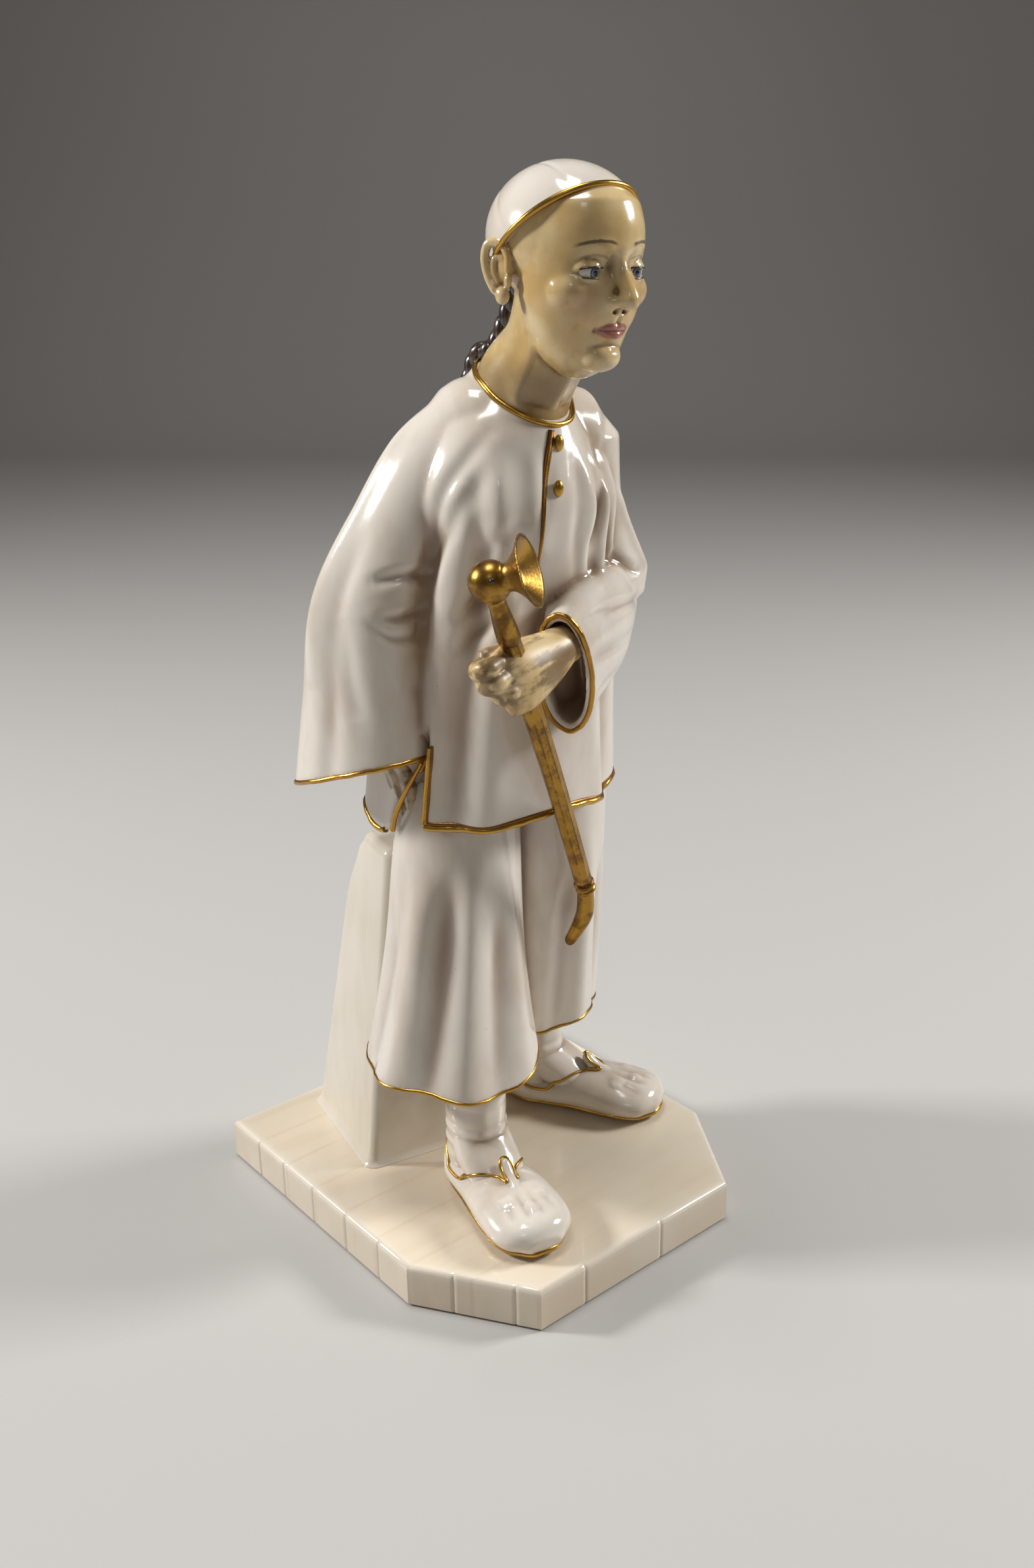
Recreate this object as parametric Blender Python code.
"""Glazed porcelain figure of a stooping elder in a wide-sleeved jacket, holding a long pipe.

The real thing is one fired piece, so it is one solid: the slab, the post behind the
right leg, the clothed body, the head with its cap and queue, both hands and the pipe.
Metres, +Z up. The origin is the centre of the slab's underside. The figure faces -Y,
so its own right hand side is -X.
"""

import math
from collections import namedtuple

import bmesh
import bpy
from mathutils import Matrix, Vector

# Slab under the figure, with its two front corners cut off
BASE_WIDTH = 0.099
BASE_DEPTH = 0.110
BASE_THICKNESS = 0.0113
BASE_CORNER_ACROSS = 0.018
BASE_CORNER_ALONG = 0.028
BASE_EDGE_ROUND = 0.0012

# Tapering post that backs the right leg
POST_FOOT_WIDTH = 0.0320
POST_FOOT_DEPTH = 0.0390
POST_WAIST_WIDTH = 0.0215
POST_WAIST_DEPTH = 0.0255
POST_TOP_WIDTH = 0.0185
POST_TOP_DEPTH = 0.0165
POST_WAIST_HEIGHT = 0.0690
POST_HEIGHT = 0.0870
POST_CORNER_X = -0.0337
POST_CORNER_Y = 0.0114
POST_LEAN_X = 0.0097
POST_TURN = math.radians(-12.0)
POST_EDGE_ROUND = 0.0020

# Feet in soft shoes
SHOE_LENGTH = 0.0430
SHOE_WIDTH = 0.0215
SHOE_HEIGHT = 0.0125
HEEL_TO_ANKLE = 0.0072
RIGHT_HEEL_X = -0.0140
RIGHT_HEEL_Y = -0.0040
RIGHT_TOE_OUT = math.radians(12.0)
LEFT_HEEL_X = 0.0190
LEFT_HEEL_Y = 0.0170
LEFT_TOE_OUT = math.radians(31.0)
ANKLE_WIDTH = 0.0158
ANKLE_WRAPS = 11
ANKLE_LENGTH = 0.046

# Wide trousers
TROUSER_HEM_ABOVE_BASE = 0.0335
TROUSER_LENGTH = 0.0730
RIGHT_LEG_WIDTH = 0.0295
RIGHT_HEM_WIDTH = 0.0435
LEFT_HEM_WIDTH = 0.0350
RIGHT_LEG_X = -0.0110
LEFT_LEG_X = 0.0155
LEFT_LEG_WIDTH = 0.0330
LEG_Y = -0.0015
RIGHT_HEM_SHIFT_X = -0.0048
RIGHT_HEM_SHIFT_Y = 0.0090
LEFT_HEM_SHIFT_X = 0.0030
LEFT_HEM_SHIFT_Y = 0.0035
TROUSER_HEM_WAVE = 0.0030

# Jacket body, from the hem up to the collar
JACKET_HEM_ABOVE_BASE = 0.1000
JACKET_LENGTH = 0.0970
JACKET_HEM_WIDTH = 0.0575
JACKET_HEM_DEPTH = 0.0480
CHEST_WIDTH = 0.0460
CHEST_DEPTH = 0.0370
JACKET_X = 0.0005
JACKET_HEM_Y = -0.0020
STOOP = 0.0105
STOOP_ANGLE = math.radians(30.0)
COLLAR_WIDTH = 0.0240
COLLAR_DEPTH = 0.0265
CLOTH_WALL = 0.0020
HEM_HOLLOW = 0.0050
SLIT_HEIGHT = 0.0190
SLIT_DEPTH = 0.0042

# Arms: lengths of the bones that the sleeves hang on
SHOULDER_BREADTH = 0.0350
SHOULDER_DROP = 0.0105
YOKE_GIRTH = 0.0225
RIGHT_UPPER_ARM = 0.0440
RIGHT_FOREARM = 0.0375
LEFT_UPPER_ARM = 0.0350
LEFT_FOREARM = 0.0390
SHOULDER_GIRTH = 0.0220
RIGHT_CUFF_WIDTH = 0.0225
RIGHT_CUFF_DEPTH = 0.0355
RIGHT_CUFF_SLANT = 0.0068
LEFT_CUFF_WIDTH = 0.0155
LEFT_CUFF_DEPTH = 0.0300
SLEEVE_HOLLOW = 0.0120

# Head and neck
NECK_WIDTH = 0.0178
NECK_LENGTH = 0.0260
HEAD_HEIGHT = 0.0395
HEAD_WIDTH = 0.0284
HEAD_DEPTH = 0.0360
HEAD_FORWARD = 0.0141
HEAD_TILT = math.radians(4.0)
CAP_THICKNESS = 0.0010
CAP_TILT = math.radians(-39.0)
EAR_HEIGHT = 0.0105
QUEUE_WIDTH = 0.0052
QUEUE_LENGTH = 0.0480

# Pipe
PIPE_STEM_LENGTH = 0.0810
PIPE_STEM_WIDTH = 0.0052
PIPE_NECK_LENGTH = 0.0110
PIPE_NECK_WIDTH = 0.0042
PIPE_BULB = 0.0090
PIPE_BOWL_LENGTH = 0.0087
PIPE_BOWL_WIDTH = 0.0157
PIPE_BOWL_WALL = 0.0014
PIPE_TIP_LENGTH = 0.0185
PIPE_TIP_WIDTH = 0.0040

# Left hand
HAND_LENGTH = 0.0240
HAND_BREADTH = 0.0175
HAND_THICKNESS = 0.0120
FINGER_WIDTH = 0.0050

BUTTON_WIDTH = 0.0024
BUTTON_HEIGHT = 0.0038

# Fineness of the clay and the number of facets kept
CLAY_GRAIN = 0.0008
CLAY_FACETS = 9800

FRONT = Vector((0.0, -1.0, 0.0))
SIDE = Vector((1.0, 0.0, 0.0))
UP = Vector((0.0, 0.0, 1.0))

# A cross-section of a lofted form: its centre, its half sizes and how far it leans forward
Station = namedtuple("Station", "centre half_width half_depth lean")
# A ridge (or, with a negative height, a furrow) that runs along a loft from start to end
Fold = namedtuple("Fold", "angle_start angle_end spread height start end")


def smooth_step(value):
    """Ease from 0 to 1."""
    value = min(1.0, max(0.0, value))
    return value * value * (3.0 - 2.0 * value)


def station(x, y, z, half_width, half_depth, lean=0.0):
    """One cross-section, written as plain numbers."""
    return Station(Vector((x, y, z)), half_width, half_depth, lean)


def between(stations, position):
    """A cross-section at any place along a list of them, on a smooth curve through all."""
    last = len(stations) - 1
    index = min(int(position), last - 1)
    share = position - index
    before = stations[max(index - 1, 0)]
    start = stations[index]
    end = stations[index + 1]
    after = stations[min(index + 2, last)]

    def curve(name):
        a, b, c, d = (getattr(item, name) for item in (before, start, end, after))
        slope_in = (c - a) * 0.5
        slope_out = (d - b) * 0.5
        square = share * share
        cube = square * share
        return (b * (2 * cube - 3 * square + 1) + slope_in * (cube - 2 * square + share)
                + c * (3 * square - 2 * cube) + slope_out * (cube - square))

    return Station(curve("centre"), curve("half_width"), curve("half_depth"), curve("lean"))


def fold_height(folds, angle, share):
    """Sum of the ridges and furrows at one angle and one share of a loft's length."""
    total = 0.0
    for fold in folds:
        span = fold.end - fold.start
        along = (share - fold.start) / span
        if along <= 0.0 or along >= 1.0:
            reach = 0.0
        else:
            reach = smooth_step(min(along, 1.0) * 4.0) * smooth_step((1.0 - along) * 4.0 + 0.35)
        middle = fold.angle_start + (fold.angle_end - fold.angle_start) * along
        away = (angle - middle + math.pi) % (2 * math.pi) - math.pi
        total += fold.height * reach * math.exp(-(away / fold.spread) ** 2)
    return total


def add_rings(body, rings, start_pole=None, end_pole=None):
    """Join a list of rings into one closed skin."""
    rows = [[body.verts.new(point) for point in ring] for ring in rings]
    count = len(rows[0])
    for first, second in zip(rows, rows[1:]):
        for index in range(count):
            following = (index + 1) % count
            body.faces.new((first[index], first[following], second[following], second[index]))
    for row, pole in ((rows[0], start_pole), (rows[-1], end_pole)):
        tip = body.verts.new(pole)
        for index in range(count):
            body.faces.new((row[index], row[(index + 1) % count], tip))


def loft(body, stations, sides=40, steps=6, folds=(), along=None, front=FRONT,
         shape=None, hem=None, mouth=0.0, wall=CLOTH_WALL, round_ends=(0.35, 0.35)):
    """Skin a closed form over cross-sections.

    Level sections lean forward by their own lean. With along set to "path" they stand
    square to the line through their centres instead. shape(angle, share) moves the skin
    in or out, hem(angle) moves the last ring along the form, and mouth hollows the end.
    """
    total = (len(stations) - 1) * steps
    samples = [between(stations, index / steps) for index in range(total + 1)]
    rings = []
    frames = []
    for index, item in enumerate(samples):
        if along == "path":
            before = samples[max(index - 1, 0)].centre
            after = samples[min(index + 1, total)].centre
            axis = (after - before).normalized()
            ahead = (front - axis * front.dot(axis)).normalized()
        else:
            axis = UP.copy()
            axis.rotate(Matrix.Rotation(item.lean, 3, "X"))
            if samples[-1].centre.z < samples[0].centre.z:
                axis.negate()
            ahead = (front - axis * front.dot(axis)).normalized()
        aside = ahead.cross(UP) if along != "path" else ahead.cross(axis)
        aside = (aside - axis * aside.dot(axis)).normalized()
        if aside.dot(SIDE) < 0 and along != "path":
            aside.negate()
        frames.append((item, axis, ahead, aside))

    def ring_at(item, axis, ahead, aside, share, inset=0.0, shift=0.0):
        ring = []
        for index in range(sides):
            angle = 2 * math.pi * index / sides
            outward = ahead * math.cos(angle) + aside * math.sin(angle)
            point = (item.centre + ahead * math.cos(angle) * (item.half_depth - inset)
                     + aside * math.sin(angle) * (item.half_width - inset))
            relief = fold_height(folds, angle, share)
            if shape:
                relief += shape(angle, share)
            point += outward * relief
            if hem:
                point += axis * hem(angle) * smooth_step(share * 3.0 - 2.0)
            ring.append(point + axis * shift)
        return ring

    for index, frame in enumerate(frames):
        rings.append(ring_at(*frame, index / total))
    first, last = frames[0], frames[-1]
    size = min(first[0].half_width, first[0].half_depth)
    start_pole = first[0].centre - first[1] * size * round_ends[0]
    shrunk = first[0]._replace(half_width=first[0].half_width * 0.72,
                               half_depth=first[0].half_depth * 0.72)
    rings.insert(0, ring_at(shrunk, *first[1:], 0.0, shift=-size * round_ends[0] * 0.7))
    if mouth > 0.0:
        rings.append(ring_at(*last, 1.0, inset=wall))
        depth_share = mouth / max((frames[-1][0].centre - frames[0][0].centre).length, mouth * 1.5)
        inner = frames[int((1.0 - depth_share) * total)]
        rings.append(ring_at(*inner, 1.0 - depth_share, inset=wall * 1.3))
        end_pole = inner[0].centre - inner[1] * wall * 0.5
    else:
        size = min(last[0].half_width, last[0].half_depth)
        shrunk = last[0]._replace(half_width=last[0].half_width * 0.72,
                                  half_depth=last[0].half_depth * 0.72)
        rings.append(ring_at(shrunk, *last[1:], 1.0, shift=size * round_ends[1] * 0.7))
        end_pole = last[0].centre + last[1] * size * round_ends[1]
    add_rings(body, rings, start_pole, end_pole)


def egg(body, centre, radii, turn=None, fineness=3):
    """A ball stretched to three radii."""
    matrix = Matrix.Translation(centre)
    if turn:
        matrix = matrix @ turn.to_4x4()
    matrix = matrix @ Matrix.Diagonal((*radii, 1.0))
    bmesh.ops.create_icosphere(body, subdivisions=fineness, radius=1.0, matrix=matrix)


def rod(body, points, radii, sides=16, steps=4, front=FRONT):
    """A round form through a few points, with round ends."""
    stations = [Station(Vector(point), radius, radius, 0.0)
                for point, radius in zip(points, radii)]
    loft(body, stations, sides=sides, steps=steps, along="path", front=front,
         round_ends=(0.9, 0.9))


def foot(body, heel_x, heel_y, toe_out, is_left):
    """A soft shoe with a raised toe, and the wrapped ankle that stands in it."""
    side = 1.0 if is_left else -1.0
    ahead = Vector((side * math.sin(toe_out), -math.cos(toe_out), 0.0))
    heel = Vector((heel_x, heel_y, BASE_THICKNESS))
    # Shares of the shoe: place along it, half width, height, and lift of its underside
    profile = ((0.02, 0.30, 0.80, 0.00), (0.14, 0.39, 1.05, 0.00), (0.36, 0.38, 1.20, 0.00),
               (0.60, 0.47, 0.98, 0.00), (0.80, 0.48, 0.74, 0.01), (0.95, 0.36, 0.66, 0.05))
    stations = []
    for place, half_width, height, lift in profile:
        tall = SHOE_HEIGHT * height * 0.5
        middle = heel + ahead * SHOE_LENGTH * place + UP * (tall - 0.0009 + SHOE_HEIGHT * lift)
        stations.append(Station(middle, SHOE_WIDTH * half_width, tall, 0.0))
    loft(body, stations, sides=28, steps=4, along="path", front=UP, round_ends=(0.5, 0.42))
    ankle = heel + ahead * HEEL_TO_ANKLE
    half = ANKLE_WIDTH * 0.5
    wraps = []
    for index in range(ANKLE_WRAPS):
        share = index / (ANKLE_WRAPS - 1)
        swell = 1.0 + 0.05 * math.cos(index * math.pi)
        wraps.append(Station(ankle + UP * (SHOE_HEIGHT * 0.4 + ANKLE_LENGTH * share),
                             half * swell * (1.06 - 0.06 * share),
                             half * swell * (1.16 - 0.16 * share), 0.0))
    loft(body, wraps, sides=28, steps=3)
    instep = [Station(ankle + UP * SHOE_HEIGHT * 1.15, half * 0.85, half * 0.75, 0.0),
              Station(ankle + ahead * SHOE_LENGTH * 0.26 + UP * SHOE_HEIGHT * 0.78,
                      half * 0.85, half * 0.5, 0.0)]
    loft(body, instep, sides=24, steps=4, along="path", front=UP)
    return ankle


def trouser_leg(body, top_x, top_width, hem_centre, hem_width, folds, wave_phase):
    """One wide trouser leg, flaring to a wavy hollow hem."""
    hem_z = BASE_THICKNESS + TROUSER_HEM_ABOVE_BASE
    top_z = hem_z + TROUSER_LENGTH
    half_top = top_width * 0.5
    half_hem = hem_width * 0.5
    stations = []
    for share, flare in ((0.0, 0.0), (0.25, 0.12), (0.55, 0.33), (0.8, 0.66), (1.0, 1.0)):
        half = half_top + (half_hem - half_top) * flare
        centre = Vector((top_x, LEG_Y, top_z)).lerp(hem_centre, share)
        centre.z = top_z + (hem_z - top_z) * share
        stations.append(Station(centre, half, half * 1.03, 0.0))

    def hem(angle):
        return TROUSER_HEM_WAVE * (math.cos(angle) + 0.55 * math.cos(3 * angle + wave_phase))

    loft(body, stations, sides=56, steps=5, folds=folds, hem=hem, mouth=HEM_HOLLOW * 1.6)


def jacket_body(body):
    """The jacket from its hollow, slit hem to the collar, stooping forward."""
    hem_z = BASE_THICKNESS + JACKET_HEM_ABOVE_BASE
    chest_half_width = CHEST_WIDTH * 0.5
    chest_half_depth = CHEST_DEPTH * 0.5
    hem_half_width = JACKET_HEM_WIDTH * 0.5
    hem_half_depth = JACKET_HEM_DEPTH * 0.5
    # Shares of the length from the collar down, of the stoop, and of hem over chest
    rows = ((0.000, 1.00, 0.0, 1.00), (0.075, 0.94, 0.0, 0.75), (0.20, 0.84, 0.04, 0.40),
            (0.34, 0.70, 0.12, 0.15), (0.54, 0.46, 0.36, 0.0), (0.76, 0.20, 0.66, 0.0),
            (1.0, 0.0, 1.0, 0.0))
    stations = []
    for down, stoop, flare, lean in rows:
        half_width = chest_half_width + (hem_half_width - chest_half_width) * flare
        half_depth = chest_half_depth + (hem_half_depth - chest_half_depth) * flare
        if down == 0.0:
            half_width = COLLAR_WIDTH * 0.5
            half_depth = COLLAR_DEPTH * 0.5
        elif down < 0.1:
            half_width = (COLLAR_WIDTH + CHEST_WIDTH) * 0.25
            half_depth = (COLLAR_DEPTH + CHEST_DEPTH) * 0.245
        stations.append(station(JACKET_X, JACKET_HEM_Y - STOOP * stoop,
                                hem_z + JACKET_LENGTH * (1.0 - down),
                                half_width, half_depth, STOOP_ANGLE * lean))
    slit_share = 1.0 - SLIT_HEIGHT / JACKET_LENGTH

    def slit(angle, share):
        """Open the side seams over the last stretch above the hem."""
        if share < slit_share:
            return 0.0
        opening = (share - slit_share) / (1.0 - slit_share)
        turned = (angle + math.pi) % (2 * math.pi) - math.pi
        for front_edge, back_edge in ((-74, -111), (80, 95)):
            near = abs(math.radians(front_edge))
            far = near + (abs(math.radians(back_edge)) - near) * opening
            if turned * front_edge > 0 and near < abs(turned) < far:
                inside = smooth_step((abs(turned) - near) * 14.0) * smooth_step((far - abs(turned)) * 5.0)
                return -SLIT_DEPTH * smooth_step(opening * 3.0) * inside
        return 0.0

    def hem(angle):
        """Positive is down: the back panel's corner hangs lowest beside the right slit."""
        turned = (angle + math.pi) % (2 * math.pi) - math.pi
        corner = math.exp(-((turned + math.radians(118)) / math.radians(16)) ** 2)
        return 0.0062 * corner - 0.0022 * math.exp(-(turned / math.radians(28)) ** 2)

    folds = (
        Fold(math.radians(-40), math.radians(-30), math.radians(7), 0.0014, 0.12, 0.70),
        Fold(math.radians(-22), math.radians(-14), math.radians(6), 0.0010, 0.08, 0.55),
        Fold(math.radians(30), math.radians(24), math.radians(7), 0.0015, 0.10, 0.60),
        Fold(math.radians(55), math.radians(42), math.radians(6), 0.0012, 0.10, 0.62),
        Fold(math.radians(-52), math.radians(-58), math.radians(9), -0.0016, 0.45, 1.05),
        Fold(math.radians(46), math.radians(52), math.radians(9), -0.0014, 0.60, 1.05),
        Fold(math.radians(-128), math.radians(-134), math.radians(15), 0.0045, 0.55, 1.08),
        Fold(math.radians(92), math.radians(98), math.radians(20), 0.0036, 0.62, 1.08),
        Fold(math.radians(178), math.radians(172), math.radians(12), 0.0015, 0.35, 1.05),
        Fold(math.radians(140), math.radians(146), math.radians(11), 0.0014, 0.30, 1.05),
    )
    loft(body, stations, sides=96, steps=6, folds=folds, shape=slit, hem=hem,
         mouth=HEM_HOLLOW, round_ends=(0.1, 0.35))


def sleeve(body, stations, front, folds, hem=None, round_start=0.5):
    """A sleeve over its arm, with a hollow cuff."""
    loft(body, stations, sides=48, steps=5, along="path", front=front, folds=folds,
         hem=hem, mouth=SLEEVE_HOLLOW, round_ends=(round_start, 0.3))


def shoulder_level():
    """Height of the shoulder joints."""
    return BASE_THICKNESS + JACKET_HEM_ABOVE_BASE + JACKET_LENGTH - SHOULDER_DROP


def right_shoulder():
    """Joint of the hanging arm, set back a little."""
    return Vector((JACKET_X - SHOULDER_BREADTH * 0.33, JACKET_HEM_Y - STOOP * 0.10,
                   shoulder_level()))


def left_shoulder():
    """Joint of the bent arm, drawn forward."""
    return Vector((JACKET_X + SHOULDER_BREADTH * 0.48, JACKET_HEM_Y - STOOP * 0.76,
                   shoulder_level() - SHOULDER_DROP * 0.15))


def yoke(body):
    """The cloth over the shoulders and the bent upper back, from one arm to the other."""
    half = YOKE_GIRTH * 0.5
    neck = Vector((JACKET_X, JACKET_HEM_Y - STOOP * 0.50, shoulder_level() + SHOULDER_DROP * 0.20))
    right, left = right_shoulder(), left_shoulder()
    stations = [Station(right, half * 0.88, half * 0.88, 0.0),
                Station(right.lerp(neck, 0.6), half * 1.02, half * 1.02, 0.0),
                Station(neck, half * 1.15, half * 1.05, 0.0),
                Station(left.lerp(neck, 0.5), half * 1.05, half * 1.02, 0.0),
                Station(left, half * 0.95, half * 0.95, 0.0)]
    loft(body, stations, sides=36, steps=5, along="path", front=UP, round_ends=(0.5, 0.5))


def right_arm(body):
    """The hanging right arm in its bell sleeve, and the hand that reaches into the slit."""
    half_girth = SHOULDER_GIRTH * 0.5
    shoulder = right_shoulder()
    elbow = shoulder + Vector((-0.40, 0.27, -0.875)).normalized() * RIGHT_UPPER_ARM
    cuff = elbow + Vector((-0.06, 0.02, -0.998)).normalized() * RIGHT_FOREARM
    half_width = RIGHT_CUFF_WIDTH * 0.5
    half_depth = RIGHT_CUFF_DEPTH * 0.5
    stations = [
        Station(shoulder, half_girth * 0.82, half_girth * 0.82, 0.0),
        Station(shoulder.lerp(elbow, 0.22), half_girth * 0.97, half_girth * 1.02, 0.0),
        Station(shoulder.lerp(elbow, 0.50), half_girth, half_girth * 1.14, 0.0),
        Station(elbow, half_width, half_depth * 0.84, 0.0),
        Station(elbow.lerp(cuff, 0.55), half_width, half_depth * 0.93, 0.0),
        Station(cuff, half_width * 1.02, half_depth, 0.0),
    ]

    def hem(angle):
        return -RIGHT_CUFF_SLANT * math.cos(angle)

    folds = (
        Fold(math.radians(75), math.radians(62), math.radians(12), 0.0013, 0.05, 0.75),
        Fold(math.radians(35), math.radians(40), math.radians(12), -0.0014, 0.35, 1.05),
        Fold(math.radians(110), math.radians(118), math.radians(14), -0.0012, 0.40, 1.05),
        Fold(math.radians(165), math.radians(170), math.radians(14), 0.0014, 0.30, 1.05),
    )
    sleeve(body, stations, Vector((0.30, -1.0, 0.0)), folds, hem, round_start=0.25)
    wrist = cuff + Vector((0.0075, -0.0040, 0.0110))
    pocket = cuff + Vector((0.0120, -0.0030, -0.0200))
    hand = [Station(wrist, 0.0042, 0.0072, 0.0),
            Station(wrist.lerp(pocket, 0.5), 0.0040, 0.0070, 0.0),
            Station(pocket, 0.0032, 0.0048, 0.0)]
    loft(body, hand, sides=20, steps=4, along="path")


def left_arm(body):
    """The bent left arm; its wide cuff hangs open under the wrist."""
    half_girth = SHOULDER_GIRTH * 0.5
    shoulder = left_shoulder()
    elbow = shoulder + Vector((0.235, -0.115, -0.965)).normalized() * LEFT_UPPER_ARM
    cuff = elbow + Vector((-0.815, -0.520, -0.35)).normalized() * LEFT_FOREARM
    half_width = LEFT_CUFF_WIDTH * 0.5
    half_depth = LEFT_CUFF_DEPTH * 0.5
    upper = [
        Station(shoulder, half_girth * 0.90, half_girth * 0.94, 0.0),
        Station(shoulder.lerp(elbow, 0.5) + Vector((-0.0008, 0.0006, 0.0)),
                half_girth * 0.86, half_girth * 0.90, 0.0),
        Station(elbow, half_girth * 0.86, half_girth * 0.88, 0.0),
    ]
    loft(body, upper, sides=36, steps=5, along="path", round_ends=(0.6, 0.8), folds=(
        Fold(math.radians(20), math.radians(50), math.radians(12), 0.0010, 0.3, 1.05),
        Fold(math.radians(100), math.radians(80), math.radians(12), -0.0010, 0.4, 1.05)))
    lower = [
        Station(elbow + Vector((0.0, 0.0020, -0.0030)), half_girth * 0.78, half_depth * 0.80, 0.0),
        Station(elbow.lerp(cuff, 0.35), half_girth * 0.74, half_depth * 0.94, 0.0),
        Station(elbow.lerp(cuff, 0.7), half_girth * 0.66, half_depth * 0.98, 0.0),
        Station(cuff, half_width, half_depth, 0.0),
    ]
    folds = (
        Fold(math.radians(-60), math.radians(-30), math.radians(14), 0.0012, 0.0, 0.6),
        Fold(math.radians(-110), math.radians(-95), math.radians(12), -0.0012, 0.15, 0.9),
        Fold(math.radians(-150), math.radians(-140), math.radians(14), 0.0010, 0.1, 1.0),
    )
    sleeve(body, lower, UP, folds)
    return cuff


def pipe_axis(cuff):
    """Where the pipe's stem starts under its bulb, and the way it runs down."""
    down = Vector((0.45, 0.173, -0.877)).normalized()
    top = cuff + Vector((-0.0208, -0.0052, 0.0157))
    return top, down


def left_hand(body, cuff):
    """A fist round the stem: palm, four curled fingers and the thumb over them."""
    top, down = pipe_axis(cuff)
    grip = top + down * HAND_BREADTH * 0.55
    wrist = cuff + Vector((0.0020, 0.0005, 0.0080))
    reach = (grip - wrist).normalized()
    across = -down
    across = (across - reach * across.dot(reach)).normalized()
    outward = across.cross(reach)
    if outward.y > 0:
        outward.negate()
    half_thick = HAND_THICKNESS * 0.5
    half_broad = HAND_BREADTH * 0.5
    knuckle = wrist + reach * HAND_LENGTH * 0.62 + outward * half_thick * 0.45
    palm = [Station(wrist - reach * 0.0060, half_thick * 0.80, half_broad * 0.55, 0.0),
            Station(wrist, half_thick * 0.78, half_broad * 0.60, 0.0),
            Station(wrist.lerp(knuckle, 0.6), half_thick * 0.86, half_broad * 0.90, 0.0),
            Station(knuckle, half_thick * 0.80, half_broad * 0.96, 0.0)]
    loft(body, palm, sides=28, steps=4, along="path", front=across)
    half_finger = FINGER_WIDTH * 0.5
    for index in range(4):
        offset = across * (half_broad - half_finger - index * FINGER_WIDTH * 0.86)
        length = HAND_LENGTH * (0.40, 0.40, 0.36, 0.30)[index]
        root = knuckle + offset
        bend = root + reach * length - outward * half_finger * 0.5
        tip = bend - outward * HAND_THICKNESS * 0.62 - reach * length * 0.25
        rod(body, (root, bend, tip), (half_finger, half_finger * 0.98, half_finger * 0.85),
            front=across)
    thumb_root = wrist + reach * HAND_LENGTH * 0.28 + across * half_broad * 0.62
    thumb_tip = thumb_root + reach * HAND_LENGTH * 0.46 - outward * 0.0030 + across * 0.0012
    rod(body, (thumb_root, thumb_tip), (half_finger * 1.1, half_finger * 0.9), front=outward)


def pipe(body, cuff):
    """Ridged stem, curved mouthpiece, neck and bulb; gives the place of the bulb."""
    top, down = pipe_axis(cuff)
    half = PIPE_STEM_WIDTH * 0.5
    foot_of_stem = top + down * PIPE_STEM_LENGTH
    stem = [Station(top - down * 0.0010, half * 0.80, half * 0.80, 0.0),
            Station(top.lerp(foot_of_stem, 0.45), half, half * 0.92, 0.0),
            Station(foot_of_stem, half * 1.05, half * 0.92, 0.0)]
    loft(body, stem, sides=6, steps=4, along="path", round_ends=(0.1, 0.3))
    joint = [Station(foot_of_stem + down * 0.0004, half * 1.1, half * 1.1, 0.0),
             Station(foot_of_stem + down * 0.0022, half * 1.1, half * 1.1, 0.0)]
    loft(body, joint, sides=20, steps=2, along="path", round_ends=(0.2, 0.2))
    lower = foot_of_stem + down * 0.0020
    middle = lower + Vector((0.20, 0.25, -0.95)).normalized() * PIPE_TIP_LENGTH * 0.5
    tip = middle + Vector((-0.14, 0.42, -0.90)).normalized() * PIPE_TIP_LENGTH * 0.5
    thin = PIPE_TIP_WIDTH * 0.5
    rod(body, (lower, middle, tip), (thin, thin * 1.05, thin * 0.8))
    bulb = top - down * PIPE_NECK_LENGTH
    narrow = PIPE_NECK_WIDTH * 0.5
    rod(body, (top + down * 0.0030, top - down * PIPE_NECK_LENGTH * 0.45, bulb),
        (narrow * 1.35, narrow, narrow * 1.3))
    egg(body, bulb, (PIPE_BULB * 0.5,) * 3)
    return bulb


def bowl(bulb):
    """The flared bowl on the side of the bulb, open at its end."""
    aim = Vector((0.56, -0.77, 0.30)).normalized()
    rim = PIPE_BOWL_WIDTH * 0.5
    stations = [Station(bulb + aim * PIPE_BOWL_LENGTH * share, rim * wide, rim * wide, 0.0)
                for share, wide in ((0.2, 0.38), (0.45, 0.38), (0.62, 0.48), (0.82, 0.72), (1.0, 1.0))]
    body = bmesh.new()
    loft(body, stations, sides=24, steps=2, along="path", front=UP,
         mouth=PIPE_BOWL_LENGTH * 0.34, wall=PIPE_BOWL_WALL)
    bmesh.ops.recalc_face_normals(body, faces=body.faces)
    mesh = bpy.data.meshes.new("bowl")
    body.to_mesh(mesh)
    body.free()
    return mesh


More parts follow.
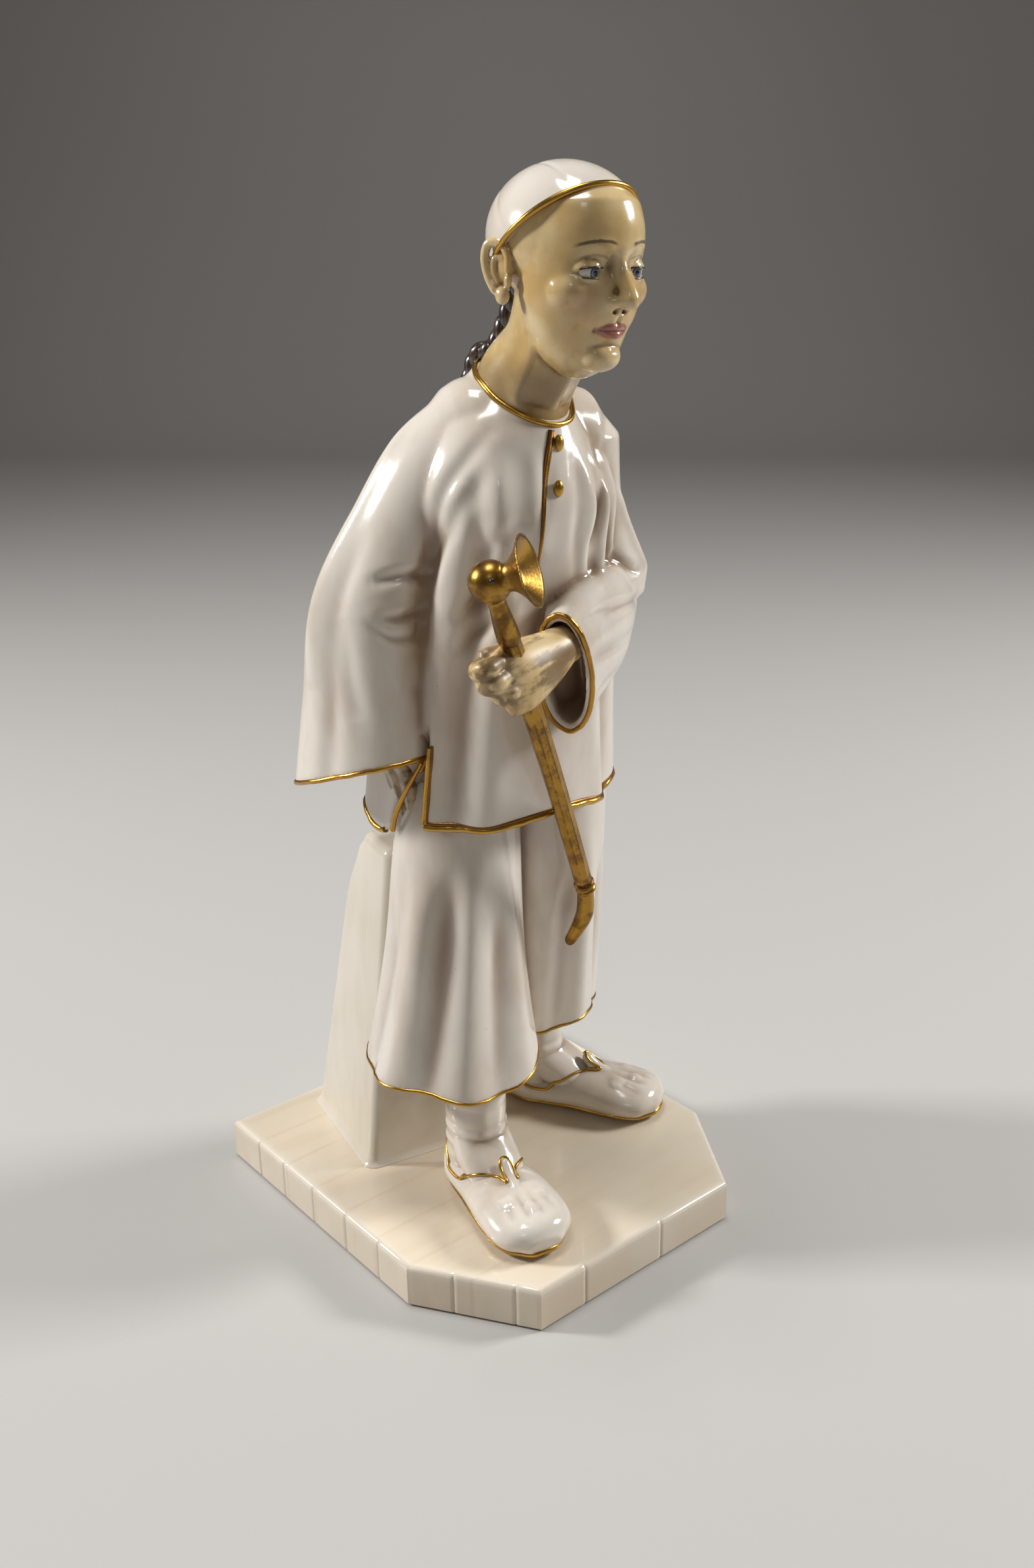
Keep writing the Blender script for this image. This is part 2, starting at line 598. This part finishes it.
def head(body):
    """Neck, skull, jaw, plain features, ears, skullcap and the queue down the back."""
    collar = Vector((JACKET_X, JACKET_HEM_Y - STOOP * 1.05,
                     BASE_THICKNESS + JACKET_HEM_ABOVE_BASE + JACKET_LENGTH))
    chin_level = collar.z + NECK_LENGTH * 0.18
    tilt = Matrix.Rotation(HEAD_TILT, 3, "X")
    centre = Vector((JACKET_X + 0.0010, collar.y - HEAD_FORWARD, chin_level + HEAD_HEIGHT * 0.5))
    half_width = HEAD_WIDTH * 0.5
    half_depth = HEAD_DEPTH * 0.5
    half_height = HEAD_HEIGHT * 0.5

    def at(across, ahead, above):
        """A place in the head, in shares of its half sizes."""
        offset = Vector((across * half_width, -ahead * half_depth, above * half_height))
        return centre + tilt @ offset

    neck_top = at(0.0, -0.10, -0.30)
    neck = [Station(collar + Vector((0.0, 0.0020, -0.0080)), NECK_WIDTH * 0.58, NECK_WIDTH * 0.58, 0.0),
            Station(collar.lerp(neck_top, 0.45), NECK_WIDTH * 0.5, NECK_WIDTH * 0.52, 0.0),
            Station(neck_top, NECK_WIDTH * 0.5, NECK_WIDTH * 0.58, 0.0)]
    loft(body, neck, sides=32, steps=4, along="path")
    egg(body, at(0.0, -0.06, 0.30), (half_width * 0.98, half_depth * 0.94, half_height * 0.70), tilt)
    face = [Station(at(0.0, 0.20, 0.45), half_width * 0.90, half_depth * 0.74, 0.0),
            Station(at(0.0, 0.24, 0.05), half_width * 0.89, half_depth * 0.70, 0.0),
            Station(at(0.0, 0.25, -0.35), half_width * 0.83, half_depth * 0.66, 0.0),
            Station(at(0.0, 0.34, -0.70), half_width * 0.60, half_depth * 0.50, 0.0),
            Station(at(0.0, 0.50, -0.90), half_width * 0.34, half_depth * 0.30, 0.0)]
    loft(body, face, sides=36, steps=5, along="path", round_ends=(0.4, 0.35))
    nose_base = at(0.0, 1.05, -0.20)
    rod(body, (at(0.0, 0.90, 0.14), at(0.0, 0.99, -0.04), nose_base),
        (half_width * 0.10, half_width * 0.115, half_width * 0.15))
    for side in (-1.0, 1.0):
        egg(body, at(side * 0.15, 0.95, -0.22), (half_width * 0.10,) * 3, fineness=2)
        egg(body, at(side * 0.40, 0.76, 0.02), (half_width * 0.20,) * 3, fineness=2)
        rod(body, (at(side * 0.14, 0.90, 0.17), at(side * 0.42, 0.84, 0.21), at(side * 0.68, 0.62, 0.15)),
            (half_width * 0.09, half_width * 0.10, half_width * 0.09))
        ear = [Station(at(side * 0.96, -0.26, 0.16), half_width * 0.12, half_depth * 0.16, 0.0),
               Station(at(side * 1.00, -0.28, -0.04), half_width * 0.13, half_depth * 0.19, 0.0),
               Station(at(side * 0.93, -0.20, -0.16 - 0.40 * EAR_HEIGHT / HEAD_HEIGHT),
                       half_width * 0.11, half_depth * 0.10, 0.0)]
        loft(body, ear, sides=20, steps=4, along="path", round_ends=(0.9, 0.9))
    for level, size in ((-0.455, 0.085), (-0.535, 0.095)):
        rod(body, (at(-0.22, 0.79, level - 0.01), at(0.0, 0.875, level), at(0.22, 0.79, level - 0.01)),
            (half_width * size * 0.6, half_width * size, half_width * size * 0.6))
    egg(body, at(0.0, 0.70, -0.80), (half_width * 0.28, half_width * 0.20, half_width * 0.20), tilt)
    cap_tilt = Matrix.Rotation(HEAD_TILT + CAP_TILT, 3, "X")
    cap_radii = (half_width + CAP_THICKNESS, half_depth * 0.96 + CAP_THICKNESS,
                 half_height * 0.71 + CAP_THICKNESS)
    cap = bmesh.new()
    egg(cap, at(0.0, -0.05, 0.30), cap_radii, tilt, fineness=4)
    plane_at = at(0.0, -0.10, 0.29)
    bmesh.ops.bisect_plane(cap, geom=cap.verts[:] + cap.edges[:] + cap.faces[:],
                           plane_co=plane_at, plane_no=cap_tilt @ UP, clear_inner=True)
    rim = [edge for edge in cap.edges if edge.is_boundary]
    bmesh.ops.holes_fill(cap, edges=rim)
    piece = bpy.data.meshes.new("cap")
    cap.to_mesh(piece)
    cap.free()
    body.from_mesh(piece)
    bpy.data.meshes.remove(piece)
    half_queue = QUEUE_WIDTH * 0.5
    nape = at(0.0, -0.76, -0.14)
    behind_neck = collar.lerp(neck_top, 0.45) + Vector((0.0, NECK_WIDTH * 0.58, 0.0))
    collar_back = Vector((JACKET_X, collar.y + COLLAR_DEPTH * 0.41, collar.z + 0.0050))
    shoulder_blade = Vector((JACKET_X, JACKET_HEM_Y + CHEST_DEPTH * 0.38, collar.z - QUEUE_LENGTH * 0.33))
    end = Vector((JACKET_X, JACKET_HEM_Y + CHEST_DEPTH * 0.47, collar.z - QUEUE_LENGTH))
    rod(body, (nape, behind_neck, collar_back, shoulder_blade, end),
        (half_queue * 1.15, half_queue, half_queue, half_queue, half_queue * 0.6), steps=7)


def buttons(body):
    """Two oval buttons on the left side of the front opening."""
    hem_z = BASE_THICKNESS + JACKET_HEM_ABOVE_BASE
    for share, across, bulge in ((0.892, 0.0002, 0.765), (0.798, -0.0026, 0.975)):
        height = hem_z + JACKET_LENGTH * share
        front_y = JACKET_HEM_Y - STOOP * share - CHEST_DEPTH * 0.5 * bulge
        egg(body, Vector((JACKET_X + across, front_y, height)),
            (BUTTON_WIDTH * 0.5, BUTTON_WIDTH * 0.5, BUTTON_HEIGHT * 0.5), fineness=2)


def clay_figure():
    """Everything modelled by hand, as overlapping closed forms in one mesh, and the bulb's place."""
    body = bmesh.new()
    right_ankle = foot(body, RIGHT_HEEL_X, RIGHT_HEEL_Y, RIGHT_TOE_OUT, False)
    left_ankle = foot(body, LEFT_HEEL_X, LEFT_HEEL_Y, LEFT_TOE_OUT, True)
    right_hem = Vector((RIGHT_LEG_X + RIGHT_HEM_SHIFT_X, right_ankle.y + RIGHT_HEM_SHIFT_Y, 0.0))
    left_hem = Vector((LEFT_LEG_X + LEFT_HEM_SHIFT_X, left_ankle.y - LEFT_HEM_SHIFT_Y, 0.0))
    trouser_leg(body, RIGHT_LEG_X, RIGHT_LEG_WIDTH, right_hem, RIGHT_HEM_WIDTH, (
        Fold(math.radians(-62), math.radians(-78), math.radians(18), 0.0014, 0.25, 1.05),
        Fold(math.radians(-40), math.radians(-48), math.radians(14), -0.0012, 0.20, 1.05),
        Fold(math.radians(-16), math.radians(-24), math.radians(15), 0.0009, 0.15, 1.05),
        Fold(math.radians(12), math.radians(4), math.radians(14), -0.0010, 0.30, 1.05),
        Fold(math.radians(160), math.radians(170), math.radians(16), -0.0014, 0.3, 1.05)), 0.6)
    trouser_leg(body, LEFT_LEG_X, LEFT_LEG_WIDTH, left_hem, LEFT_HEM_WIDTH, (
        Fold(math.radians(10), math.radians(2), math.radians(12), 0.0014, 0.2, 1.05),
        Fold(math.radians(40), math.radians(46), math.radians(12), -0.0016, 0.3, 1.05),
        Fold(math.radians(-160), math.radians(-170), math.radians(14), -0.0018, 0.3, 1.05)), 2.4)
    jacket_body(body)
    yoke(body)
    right_arm(body)
    cuff = left_arm(body)
    left_hand(body, cuff)
    bulb = pipe(body, cuff)
    buttons(body)
    head(body)
    bmesh.ops.recalc_face_normals(body, faces=body.faces)
    mesh = bpy.data.meshes.new("clay")
    body.to_mesh(mesh)
    body.free()
    return mesh, bulb


def evaluated(thing):
    """A plain mesh of an object as its modifiers leave it."""
    depsgraph = bpy.context.evaluated_depsgraph_get()
    return bpy.data.meshes.new_from_object(thing.evaluated_get(depsgraph))


def link(name, mesh):
    """Put a mesh in the scene."""
    thing = bpy.data.objects.new(name, mesh)
    bpy.context.scene.collection.objects.link(thing)
    return thing


def keep_outer_skin(mesh):
    """Delete sealed bubbles and crumbs, so that one skin is left."""
    body = bmesh.new()
    body.from_mesh(mesh)
    waiting = set(body.verts)
    islands = []
    while waiting:
        seed = waiting.pop()
        island = {seed}
        front = [seed]
        while front:
            vert = front.pop()
            for edge in vert.link_edges:
                other = edge.other_vert(vert)
                if other in waiting:
                    waiting.remove(other)
                    island.add(other)
                    front.append(other)
        islands.append(island)
    largest = max(islands, key=len)
    for island in islands:
        if island is not largest:
            bmesh.ops.delete(body, geom=list(island), context="VERTS")
    body.to_mesh(mesh)
    body.free()


def fused(mesh):
    """Run the overlapping forms together into one skin and thin out its facets."""
    thing = link("clay", mesh)
    remesh = thing.modifiers.new("Fuse", "REMESH")
    remesh.mode = "VOXEL"
    remesh.voxel_size = CLAY_GRAIN
    soften = thing.modifiers.new("Soften", "SMOOTH")
    soften.factor = 0.5
    soften.iterations = 2
    fine = evaluated(thing)
    thing.modifiers.clear()
    thing.data = fine
    keep_outer_skin(fine)
    triangles = sum(len(face.vertices) - 2 for face in fine.polygons)
    thin = thing.modifiers.new("Thin", "DECIMATE")
    thin.ratio = min(1.0, CLAY_FACETS / triangles)
    coarse = evaluated(thing)
    bpy.data.objects.remove(thing)
    return coarse


def slab():
    """The stepped-off rectangle that the figure stands on."""
    half_width = BASE_WIDTH * 0.5
    half_depth = BASE_DEPTH * 0.5
    outline = ((-half_width, half_depth), (-half_width, -half_depth + BASE_CORNER_ALONG),
               (-half_width + BASE_CORNER_ACROSS, -half_depth),
               (half_width - BASE_CORNER_ACROSS, -half_depth),
               (half_width, -half_depth + BASE_CORNER_ALONG), (half_width, half_depth))
    body = bmesh.new()
    face = body.faces.new([body.verts.new((x, y, 0.0)) for x, y in outline])
    top = bmesh.ops.extrude_face_region(body, geom=[face])["geom"]
    bmesh.ops.translate(body, verts=[item for item in top if isinstance(item, bmesh.types.BMVert)],
                        vec=(0.0, 0.0, BASE_THICKNESS))
    rounded = [edge for edge in body.edges if max(vert.co.z for vert in edge.verts) > 0.0]
    bmesh.ops.bevel(body, geom=rounded, offset=BASE_EDGE_ROUND, segments=3, affect="EDGES", profile=0.5)
    bmesh.ops.recalc_face_normals(body, faces=body.faces)
    mesh = bpy.data.meshes.new("slab")
    body.to_mesh(mesh)
    body.free()
    return mesh


def post():
    """The tapering support behind the right leg, placed by the corner nearest the right foot."""
    body = bmesh.new()
    sunk = BASE_THICKNESS * 0.3
    turn = Matrix.Rotation(POST_TURN, 3, "Z")
    rings = []
    for width, depth, rise in ((POST_FOOT_WIDTH, POST_FOOT_DEPTH, -sunk),
                               (POST_WAIST_WIDTH, POST_WAIST_DEPTH, POST_WAIST_HEIGHT),
                               (POST_TOP_WIDTH, POST_TOP_DEPTH, POST_HEIGHT)):
        lean = POST_LEAN_X * max(rise, 0.0) / POST_HEIGHT
        corner = Vector((POST_CORNER_X + lean, POST_CORNER_Y, BASE_THICKNESS + rise))
        rings.append([body.verts.new(corner + turn @ Vector((a * width, b * depth, 0.0)))
                      for a, b in ((0, 0), (1, 0), (1, 1), (0, 1))])
    for lower, upper in zip(rings, rings[1:]):
        for index in range(4):
            following = (index + 1) % 4
            body.faces.new((lower[index], lower[following], upper[following], upper[index]))
    body.faces.new(rings[0])
    body.faces.new(rings[-1])
    lowest = min(vert.co.z for vert in body.verts)
    rounded = [edge for edge in body.edges if max(vert.co.z for vert in edge.verts) > lowest + sunk]
    bmesh.ops.bevel(body, geom=rounded, offset=POST_EDGE_ROUND, segments=3, affect="EDGES", profile=0.5)
    bmesh.ops.recalc_face_normals(body, faces=body.faces)
    mesh = bpy.data.meshes.new("post")
    body.to_mesh(mesh)
    body.free()
    return mesh


def glaze():
    """White glazed porcelain."""
    material = bpy.data.materials.new("white_glaze")
    material.use_nodes = True
    shader = material.node_tree.nodes["Principled BSDF"]
    shader.inputs["Base Color"].default_value = (0.80, 0.76, 0.72, 1.0)
    shader.inputs["Roughness"].default_value = 0.12
    shader.inputs["Metallic"].default_value = 0.0
    return material


def main():
    """Model the figure and join it with its slab and post."""
    for thing in list(bpy.data.objects):
        bpy.data.objects.remove(thing)
    overlapping, bulb = clay_figure()
    clay = fused(overlapping)
    figure = link("porcelain_figure", slab())
    for name, mesh in (("post_tool", post()), ("clay_tool", clay), ("bowl_tool", bowl(bulb))):
        tool = link(name, mesh)
        tool.hide_render = True
        tool.display_type = "WIRE"
        union = figure.modifiers.new(name, "BOOLEAN")
        union.operation = "UNION"
        union.solver = "EXACT"
        union.object = tool
    figure.data.materials.append(glaze())
    figure.data.shade_smooth()
    figure.data.set_sharp_from_angle(angle=math.radians(40.0))


main()
